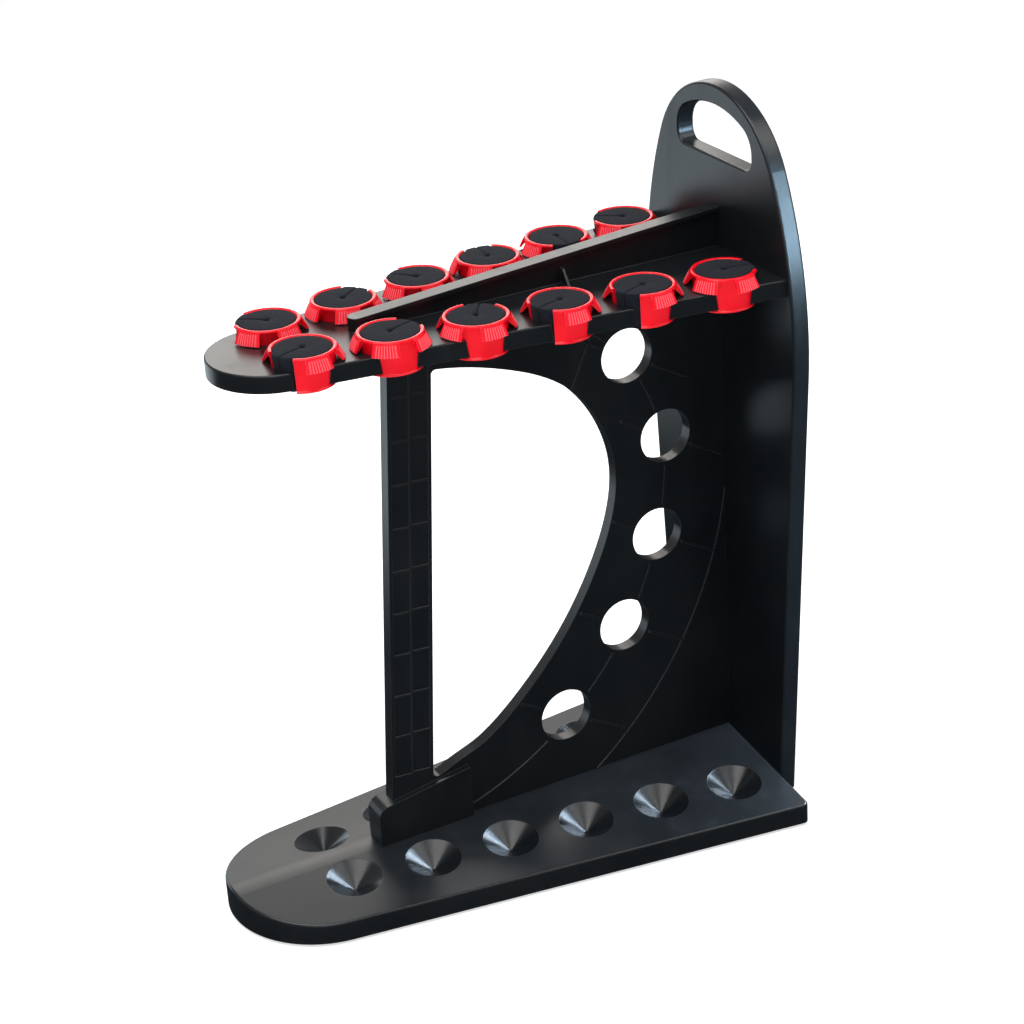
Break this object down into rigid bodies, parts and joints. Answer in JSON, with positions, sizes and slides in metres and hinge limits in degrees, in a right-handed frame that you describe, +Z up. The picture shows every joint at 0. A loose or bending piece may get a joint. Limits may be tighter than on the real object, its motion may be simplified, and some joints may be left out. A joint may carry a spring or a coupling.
{
  "type": "fishing rod rack",
  "caption": "Free-standing black plastic fishing rod rack: tall back panel with hand hole, cupped base, centre web and a shelf of red twist-lock collars with foam inserts.",
  "frame": {"origin": "on the floor, in the middle of the rack's bounding box", "axes": "+X is the rack's right side, -Y its rounded nose, +Y its tall back panel, +Z up"},
  "size_m": [0.2332, 0.4306, 0.5427],
  "materials": {
    "black_plastic": "fine moulded grain, satin",
    "red_plastic": "glossy moulded red",
    "black_foam": "open-cell foam, dull",
    "foot_rubber": "dull black rubber",
    "screw_steel": "bright zinc plate"
  },
  "bodies": {
    "rack": {"base_plate": "black_plastic", "centre_web": "black_plastic", "back_panel": "black_plastic", "rod_shelf": "black_plastic", "rubber_foot_1": "foot_rubber", "rubber_foot_2": "foot_rubber", "rubber_foot_3": "foot_rubber", "rubber_foot_4": "foot_rubber", "rubber_foot_5": "foot_rubber", "rubber_foot_6": "foot_rubber", "base_screws": "screw_steel", "panel_screws": "screw_steel"},
    "collar_right_1": {"twist_collar_right_1": "red_plastic", "foam_insert_right_1": "black_foam"},
    "collar_right_2": {"twist_collar_right_2": "red_plastic", "foam_insert_right_2": "black_foam"},
    "collar_right_3": {"twist_collar_right_3": "red_plastic", "foam_insert_right_3": "black_foam"},
    "collar_right_4": {"twist_collar_right_4": "red_plastic", "foam_insert_right_4": "black_foam"},
    "collar_right_5": {"twist_collar_right_5": "red_plastic", "foam_insert_right_5": "black_foam"},
    "collar_right_6": {"twist_collar_right_6": "red_plastic", "foam_insert_right_6": "black_foam"},
    "collar_left_1": {"twist_collar_left_1": "red_plastic", "foam_insert_left_1": "black_foam"},
    "collar_left_2": {"twist_collar_left_2": "red_plastic", "foam_insert_left_2": "black_foam"},
    "collar_left_3": {"twist_collar_left_3": "red_plastic", "foam_insert_left_3": "black_foam"},
    "collar_left_4": {"twist_collar_left_4": "red_plastic", "foam_insert_left_4": "black_foam"},
    "collar_left_5": {"twist_collar_left_5": "red_plastic", "foam_insert_left_5": "black_foam"},
    "collar_left_6": {"twist_collar_left_6": "red_plastic", "foam_insert_left_6": "black_foam"}
  },
  "joints": [
    {"name": "collar_right_1_turn", "type": "hinge", "parent": "rack", "child": "collar_right_1", "pos_m": [0.0297, -0.13208, 0.41905], "axis": [0, 0, 1], "continuous": true},
    {"name": "collar_right_2_turn", "type": "hinge", "parent": "rack", "child": "collar_right_2", "pos_m": [0.03753, -0.07259, 0.41905], "axis": [0, 0, 1], "continuous": true},
    {"name": "collar_right_3_turn", "type": "hinge", "parent": "rack", "child": "collar_right_3", "pos_m": [0.04536, -0.0131, 0.41905], "axis": [0, 0, 1], "continuous": true},
    {"name": "collar_right_4_turn", "type": "hinge", "parent": "rack", "child": "collar_right_4", "pos_m": [0.05319, 0.04638, 0.41905], "axis": [0, 0, 1], "continuous": true},
    {"name": "collar_right_5_turn", "type": "hinge", "parent": "rack", "child": "collar_right_5", "pos_m": [0.06103, 0.10587, 0.41905], "axis": [0, 0, 1], "continuous": true},
    {"name": "collar_right_6_turn", "type": "hinge", "parent": "rack", "child": "collar_right_6", "pos_m": [0.06886, 0.16536, 0.41905], "axis": [0, 0, 1], "continuous": true},
    {"name": "collar_left_1_turn", "type": "hinge", "parent": "rack", "child": "collar_left_1", "pos_m": [-0.0297, -0.13208, 0.41905], "axis": [0, 0, 1], "continuous": true},
    {"name": "collar_left_2_turn", "type": "hinge", "parent": "rack", "child": "collar_left_2", "pos_m": [-0.03753, -0.07259, 0.41905], "axis": [0, 0, 1], "continuous": true},
    {"name": "collar_left_3_turn", "type": "hinge", "parent": "rack", "child": "collar_left_3", "pos_m": [-0.04536, -0.0131, 0.41905], "axis": [0, 0, 1], "continuous": true},
    {"name": "collar_left_4_turn", "type": "hinge", "parent": "rack", "child": "collar_left_4", "pos_m": [-0.05319, 0.04638, 0.41905], "axis": [0, 0, 1], "continuous": true},
    {"name": "collar_left_5_turn", "type": "hinge", "parent": "rack", "child": "collar_left_5", "pos_m": [-0.06103, 0.10587, 0.41905], "axis": [0, 0, 1], "continuous": true},
    {"name": "collar_left_6_turn", "type": "hinge", "parent": "rack", "child": "collar_left_6", "pos_m": [-0.06886, 0.16536, 0.41905], "axis": [0, 0, 1], "continuous": true}
  ]
}
